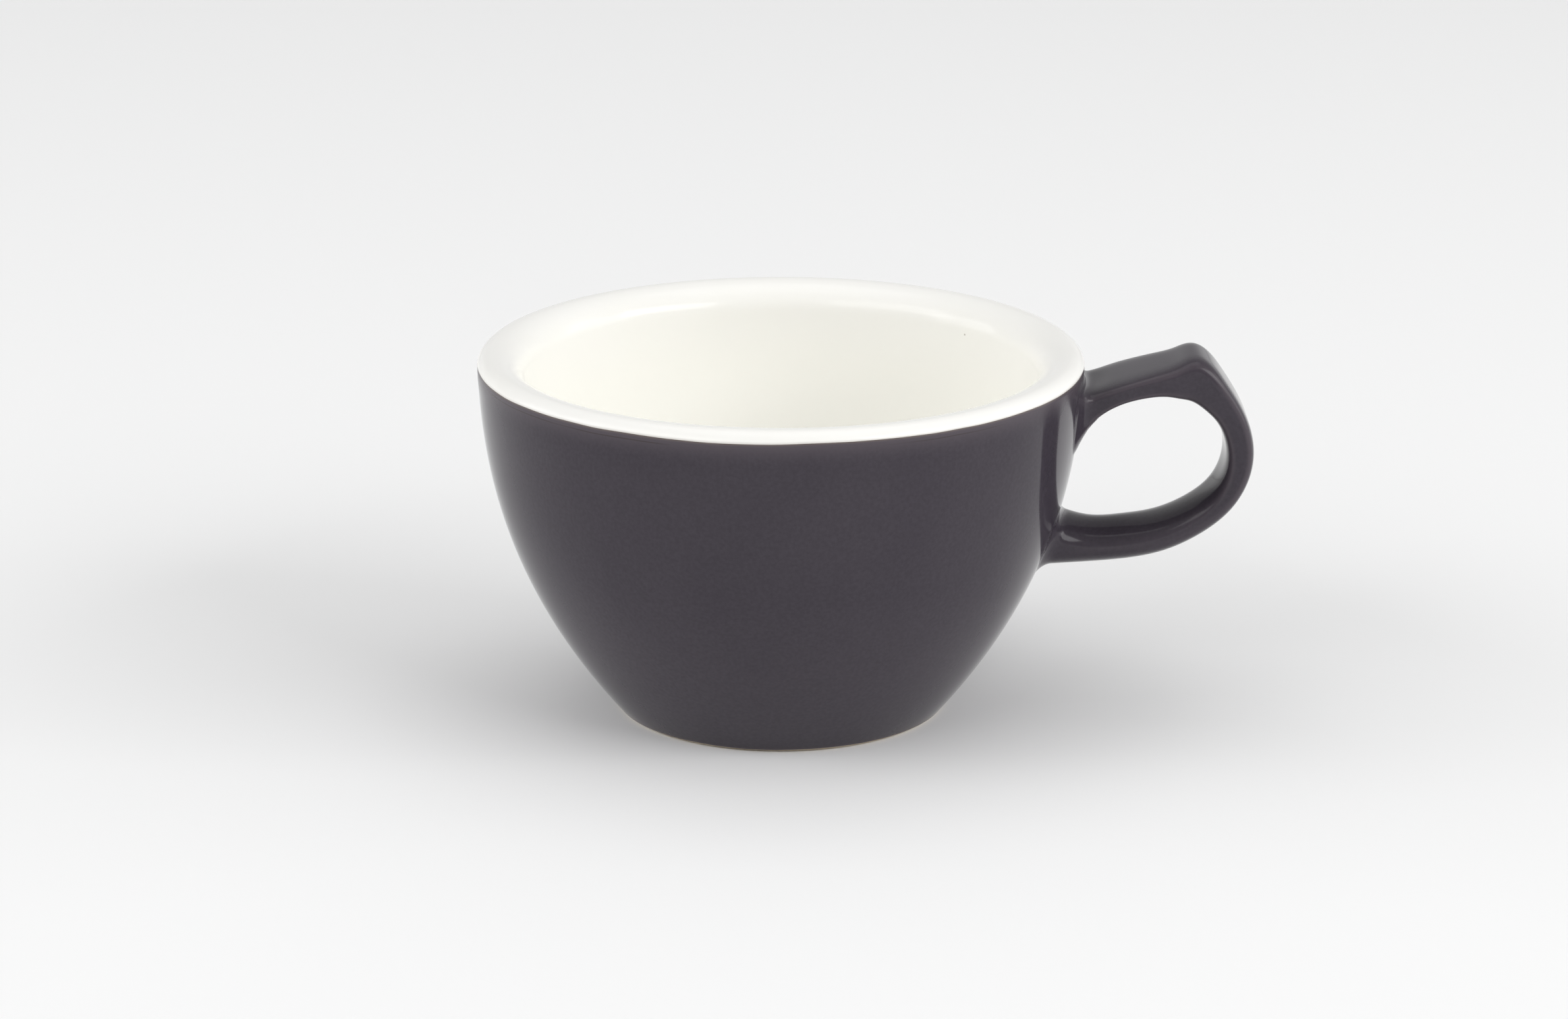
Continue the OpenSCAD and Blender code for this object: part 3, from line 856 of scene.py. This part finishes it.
class CERAMICS_OT_glaze_inside(bpy.types.Operator):
    """Pour the cream glaze over the inside and the lip"""
    bl_idname = "ceramics.glaze_inside"
    bl_label = "Glaze Inside"

    def execute(self, context):
        scene = context.scene
        bowl = Bowl(scene.cup_bowl, scene.cup_glaze)
        outline = bowl.cream_outline()
        thin, slide = coat_finish(bowl, outline, scene.cup_glaze)
        cream = kept_material("Cream Stoneware Glaze", cream_glaze, scene.cup_colours)
        mesh = turn(outline, False, thin, slide, cream, context)
        place_piece("cream_coat", mesh, "inner_glaze")
        return {"FINISHED"}


class CERAMICS_OT_glaze_outside(bpy.types.Operator):
    """Dip the outside of the bowl in the charcoal glaze"""
    bl_idname = "ceramics.glaze_outside"
    bl_label = "Glaze Outside"

    def execute(self, context):
        scene = context.scene
        bowl = Bowl(scene.cup_bowl, scene.cup_glaze)
        outline = bowl.charcoal_outline()
        thin, slide = coat_finish(bowl, outline, scene.cup_glaze)
        charcoal = kept_material("Charcoal Stoneware Glaze", charcoal_glaze, scene.cup_colours)
        mesh = turn(outline, True, thin, slide, charcoal, context)
        place_piece("charcoal_coat", mesh, "outer_glaze")
        return {"FINISHED"}


class CERAMICS_OT_glaze_underside(bpy.types.Operator):
    """Glaze the hollow inside the foot ring"""
    bl_idname = "ceramics.glaze_underside"
    bl_label = "Glaze Underside"

    def execute(self, context):
        scene = context.scene
        bowl = Bowl(scene.cup_bowl, scene.cup_glaze)
        outline = bowl.underside_outline()
        charcoal = kept_material("Charcoal Stoneware Glaze", charcoal_glaze, scene.cup_colours)
        none = np.zeros(len(outline))
        mesh = turn(outline, False, none, np.zeros_like(outline), charcoal, context)
        place_piece("underside_coat", mesh, "underside_glaze")
        return {"FINISHED"}


class CERAMICS_OT_shape_handle(bpy.types.Operator):
    """Shape the clay handle, and finish the slip that joins it to the bowl"""
    bl_idname = "ceramics.shape_handle"
    bl_label = "Shape Clay Handle"

    def execute(self, context):
        scene = context.scene
        strap = Strap(scene.cup_handle, Bowl(scene.cup_bowl, scene.cup_glaze))
        iron = scene.cup_colours.iron
        clay = kept_material("Fired Clay", fired_clay, "Fired Clay", scene.cup_colours.clay, iron)
        slip = kept_material("Joining Slip", fired_clay, "Joining Slip", scene.cup_colours.slip, iron)
        rings = strap.back_rings(scene.cup_glaze.thickness + COAT_GAP)[1:-1]
        place_piece("clay_handle", loft(rings, clay, False), "handle")
        for node in ("upper_handle_joint", "lower_handle_joint"):
            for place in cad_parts[node].material_slots:
                place.material = slip
        return {"FINISHED"}


class CERAMICS_OT_glaze_handle(bpy.types.Operator):
    """Glaze the handle"""
    bl_idname = "ceramics.glaze_handle"
    bl_label = "Glaze Handle"

    def execute(self, context):
        scene = context.scene
        strap = Strap(scene.cup_handle, Bowl(scene.cup_bowl, scene.cup_glaze))
        charcoal = kept_material("Charcoal Stoneware Glaze", charcoal_glaze, scene.cup_colours)
        back = strap.back_rings(scene.cup_glaze.thickness)
        mesh = loft(strap.face_rings() + back[::-1], charcoal, True)
        place_piece("handle_coat", mesh, "handle_glaze")
        return {"FINISHED"}


# Stage

# The photograph's camera: its height above the horizon, its distance and what it looks at
CAMERA_ELEVATION = math.radians(16.96)
CAMERA_DISTANCE = 800 * MM
CAMERA_AIM = Vector((0.5, 0, 31.42)) * MM
# Its focal length in the photograph's pixels, and that photograph's width
FOCAL_PIXELS = 7703
PHOTO_WIDTH = 2380
# Width of the camera's sensor in millimetres, and the floor's side in metres
SENSOR_WIDTH = 36
FLOOR_SIZE = 6
# Brightness of the studio's white surround, and what the backdrop behind the cup adds low down and higher up
SURROUND_LEVEL = 0.288
BACKDROP_LOW = 0.45
BACKDROP_HIGH = 0.22
# Sines of the heights above the horizon between which the backdrop's light falls off
BACKDROP_FALL = (0.12, 0.28)
# How far the soft boxes stand from the cup in metres
LIGHT_DISTANCE = 2.0
# Soft boxes: name, direction from the cup, width and height in metres, and radiance
SOFT_BOXES = (
    ("right_soft_box", (0.74, -0.49, 0.47), 1.6, 0.8, 4.5),
    ("left_soft_box", (-0.70, -0.47, 0.54), 2.2, 0.9, 2.05),
    ("top_soft_box", (0.0, 0.1, 1.0), 1.6, 1.6, 0.82),
    ("right_side_box", (0.97, 0.05, 0.30), 1.4, 0.9, 1.6),
    ("left_side_box", (-0.97, 0.05, 0.30), 1.4, 0.9, 1.9),
)


def add_floor(context):
    """A wide sheet of white paper under the cup."""
    half = FLOOR_SIZE / 2
    mesh = bpy.data.meshes.new("floor")
    corners = [(-half, -half, 0), (half, -half, 0), (half, half, 0), (-half, half, 0)]
    mesh.from_pydata(corners, [], [(0, 1, 2, 3)])
    mesh.materials.append(kept_material("Studio Paper", studio_paper, context.scene.cup_colours.paper))
    floor = bpy.data.objects.new("floor", mesh)
    context.scene.collection.objects.link(floor)


def add_soft_box(context, name, direction, width, height, radiance):
    """A soft box that faces the cup."""
    lamp = bpy.data.lights.new(name, "AREA")
    lamp.shape = "RECTANGLE"
    lamp.size = width
    lamp.size_y = height
    lamp.energy = radiance * math.pi * width * height
    box = bpy.data.objects.new(name, lamp)
    towards = Vector(direction).normalized()
    box.location = CAMERA_AIM + towards * LIGHT_DISTANCE
    box.rotation_euler = towards.to_track_quat("Z", "Y").to_euler()
    context.scene.collection.objects.link(box)


def add_camera(context):
    """The photograph's camera."""
    lens = bpy.data.cameras.new("camera")
    lens.sensor_width = SENSOR_WIDTH
    lens.sensor_fit = "HORIZONTAL"
    lens.lens = SENSOR_WIDTH * FOCAL_PIXELS / PHOTO_WIDTH
    camera = bpy.data.objects.new("camera", lens)
    back = Vector((0, -math.cos(CAMERA_ELEVATION), math.sin(CAMERA_ELEVATION)))
    camera.location = CAMERA_AIM + back * CAMERA_DISTANCE
    camera.rotation_euler = back.to_track_quat("Z", "Y").to_euler()
    context.scene.collection.objects.link(camera)
    context.scene.camera = camera


def studio_world():
    """The studio's white surround, with a lit backdrop behind the cup."""
    world = bpy.data.worlds.new("studio")
    world.use_nodes = True
    tree = world.node_tree
    tree.nodes.clear()
    direction = add_node(tree, "ShaderNodeTexCoord").outputs["Generated"]
    parts = add_node(tree, "ShaderNodeSeparateXYZ", {"Vector": direction})
    behind = add_node(tree, "ShaderNodeMapRange", {"Value": parts.outputs["Y"], "From Min": -1.0})
    backdrop = add_node(tree, "ShaderNodeMapRange", {
        "Value": parts.outputs["Z"], "From Min": BACKDROP_FALL[0], "From Max": BACKDROP_FALL[1],
        "To Min": BACKDROP_LOW, "To Max": BACKDROP_HIGH})
    level = add_node(tree, "ShaderNodeMath", {
        0: behind.outputs["Result"], 1: backdrop.outputs["Result"], 2: SURROUND_LEVEL},
        operation="MULTIPLY_ADD")
    light = add_node(tree, "ShaderNodeBackground", {
        "Color": opaque((1, 1, 1)), "Strength": level.outputs["Value"]})
    add_node(tree, "ShaderNodeOutputWorld", {"Surface": light.outputs["Background"]})
    return world


class CERAMICS_OT_set_stage(bpy.types.Operator):
    """Lay the floor, and set the lights and the camera"""
    bl_idname = "ceramics.set_stage"
    bl_label = "Set Stage"

    def execute(self, context):
        scene = context.scene
        add_floor(context)
        for values in SOFT_BOXES:
            add_soft_box(context, *values)
        add_camera(context)
        scene.world = studio_world()
        scene.view_settings.view_transform = "Standard"
        return {"FINISHED"}


OPERATORS = (
    CERAMICS_OT_turn_clay,
    CERAMICS_OT_shape_handle,
    CERAMICS_OT_glaze_inside,
    CERAMICS_OT_glaze_outside,
    CERAMICS_OT_glaze_underside,
    CERAMICS_OT_glaze_handle,
    CERAMICS_OT_set_stage,
)
GROUPS = (
    ("cup_bowl", BowlSizes),
    ("cup_glaze", GlazeSizes),
    ("cup_handle", HandleSizes),
    ("cup_colours", CupColours),
)


class CERAMICS_PT_cup(bpy.types.Panel):
    """Sizes, colours and steps of the cup"""
    bl_idname = "CERAMICS_PT_cup"
    bl_label = "Cappuccino Cup"
    bl_space_type = "VIEW_3D"
    bl_region_type = "UI"
    bl_category = "Cup"

    def draw(self, context):
        for name, group in GROUPS:
            box = self.layout.box()
            values = getattr(context.scene, name)
            for key in group.__annotations__:
                box.prop(values, key)
        for step in OPERATORS:
            self.layout.operator(step.bl_idname)


def register():
    for name, group in GROUPS:
        bpy.utils.register_class(group)
        setattr(bpy.types.Scene, name, PointerProperty(type=group))
    for step in OPERATORS:
        bpy.utils.register_class(step)
    bpy.utils.register_class(CERAMICS_PT_cup)


def unregister():
    bpy.utils.unregister_class(CERAMICS_PT_cup)
    for step in reversed(OPERATORS):
        bpy.utils.unregister_class(step)
    for name, group in reversed(GROUPS):
        delattr(bpy.types.Scene, name)
        bpy.utils.unregister_class(group)


def main():
    register()
    bpy.ops.ceramics.turn_clay()
    bpy.ops.ceramics.shape_handle()
    bpy.ops.ceramics.glaze_inside()
    bpy.ops.ceramics.glaze_outside()
    bpy.ops.ceramics.glaze_underside()
    bpy.ops.ceramics.glaze_handle()
    bpy.ops.ceramics.set_stage()


if __name__ == "__main__":
    main()
